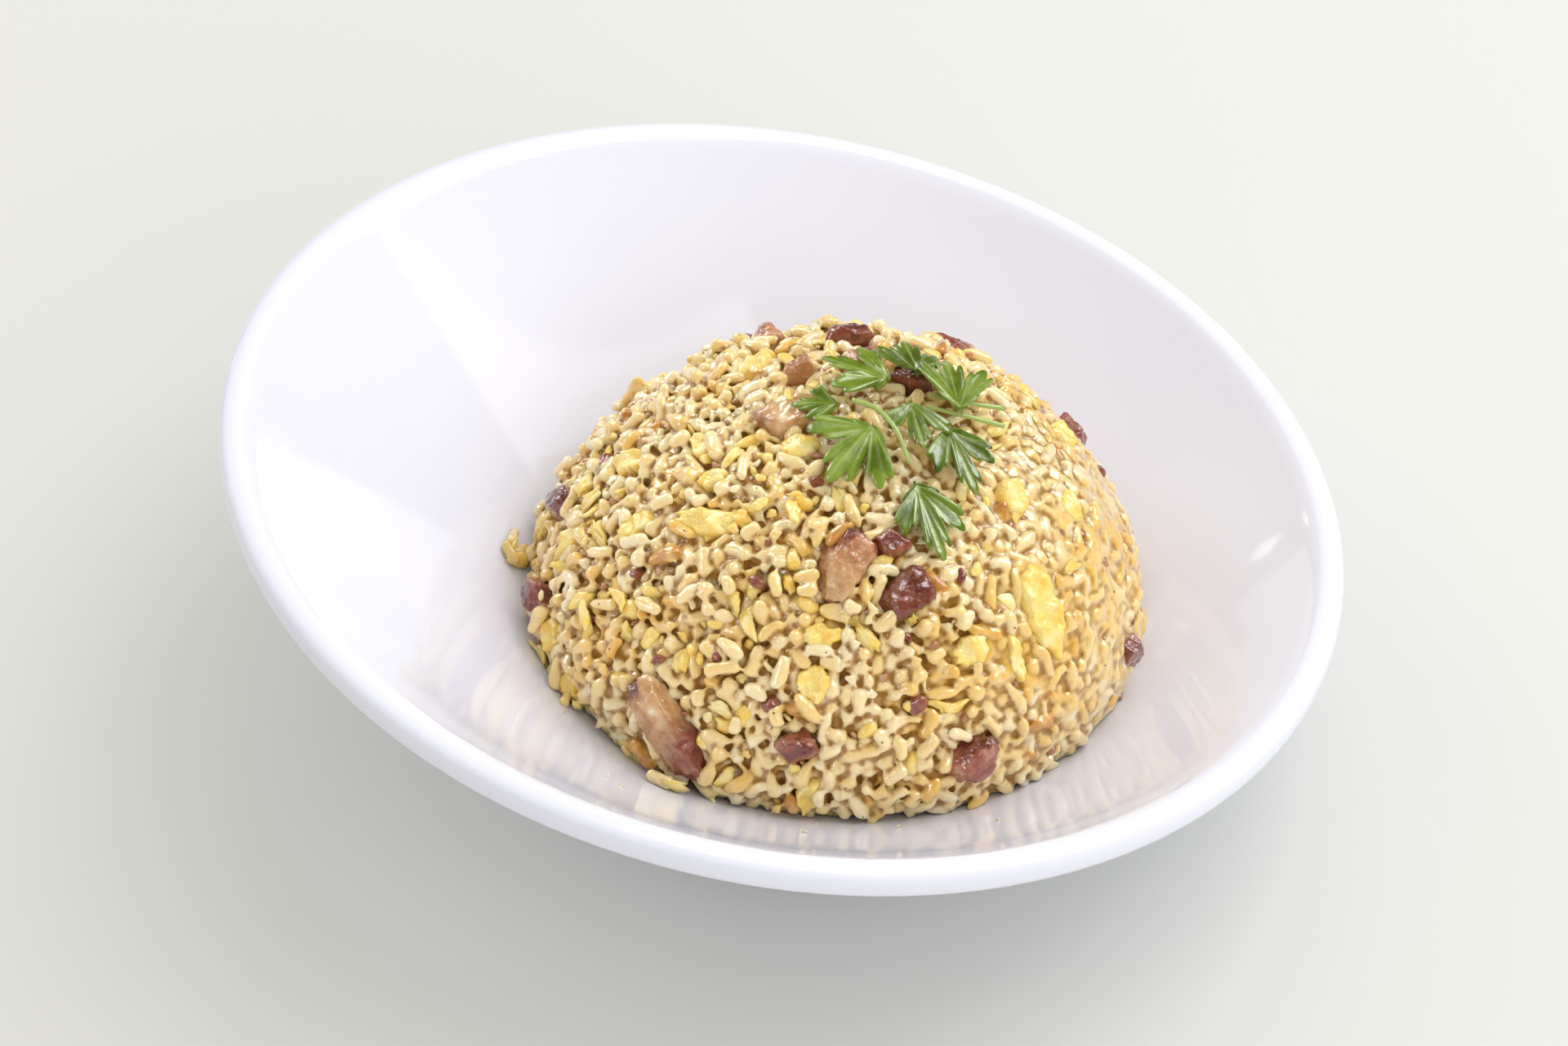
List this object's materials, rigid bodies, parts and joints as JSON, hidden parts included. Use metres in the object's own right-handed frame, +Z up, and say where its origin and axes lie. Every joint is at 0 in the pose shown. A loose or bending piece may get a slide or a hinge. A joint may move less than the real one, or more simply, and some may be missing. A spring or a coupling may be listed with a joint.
{
  "type": "fried rice in a slanted bowl",
  "caption": "Moulded mound of fried rice with cured pork, scrambled egg and a coriander sprig, in a round white bowl whose rim rises to one side.",
  "frame": {"origin": "on the table, under the middle of the rim, at the foot ring's underside", "axes": "+Z up; +X towards the low side of the rim; +Y towards the back"},
  "size_m": [0.2538, 0.2574, 0.0909],
  "materials": {
    "melamine": "glossy white moulded melamine",
    "rice": "moist cooked rice, lightly browned and oily",
    "pork": "moist cured pork, dark red lean and pale fat",
    "egg": "soft yellow scrambled egg",
    "coriander": "fresh green leaf, slightly waxy"
  },
  "bodies": {
    "root": {"bowl": "melamine", "rice": "rice", "fallen_grains_left": "rice", "fallen_grain_front": "rice", "pork_top_left": "pork", "pork_top_back": "pork", "pork_top": "pork", "pork_top_middle": "pork", "pork_under_leaf": "pork", "pork_fat_top": "pork", "pork_front": "pork", "pork_crisp": "pork", "pork_dark_front": "pork", "pork_left": "pork", "pork_left_low": "pork", "pork_base_large": "pork", "pork_base_dark": "pork", "pork_base_right": "pork", "pork_right": "pork", "pork_back_1": "pork", "pork_back_2": "pork", "pork_back_3": "pork", "egg_top_left": "egg", "egg_top_front": "egg", "egg_left_folded": "egg", "egg_left_upper": "egg", "egg_left_middle": "egg", "egg_strip_long": "egg", "egg_left_patch": "egg", "egg_left_strip": "egg", "egg_left_base": "egg", "egg_crust_base": "egg", "egg_front": "egg", "egg_front_base": "egg", "egg_right_large": "egg", "egg_right_lower": "egg", "egg_right_thin": "egg", "egg_right_smooth": "egg", "egg_right_side": "egg", "egg_middle_low": "egg", "egg_back_1": "egg", "egg_back_2": "egg", "egg_back_3": "egg", "egg_back_4": "egg", "leaf_upper_left": "coriander", "leaf_upper": "coriander", "leaf_left_dark": "coriander", "leaf_lower_left": "coriander", "leaf_middle": "coriander", "leaf_upright": "coriander", "leaf_lower_right": "coriander", "leaf_lowest": "coriander", "stem_right_upper": "coriander", "stem_right_lower": "coriander", "stem_lower_left": "coriander"}
  },
  "joints": []
}
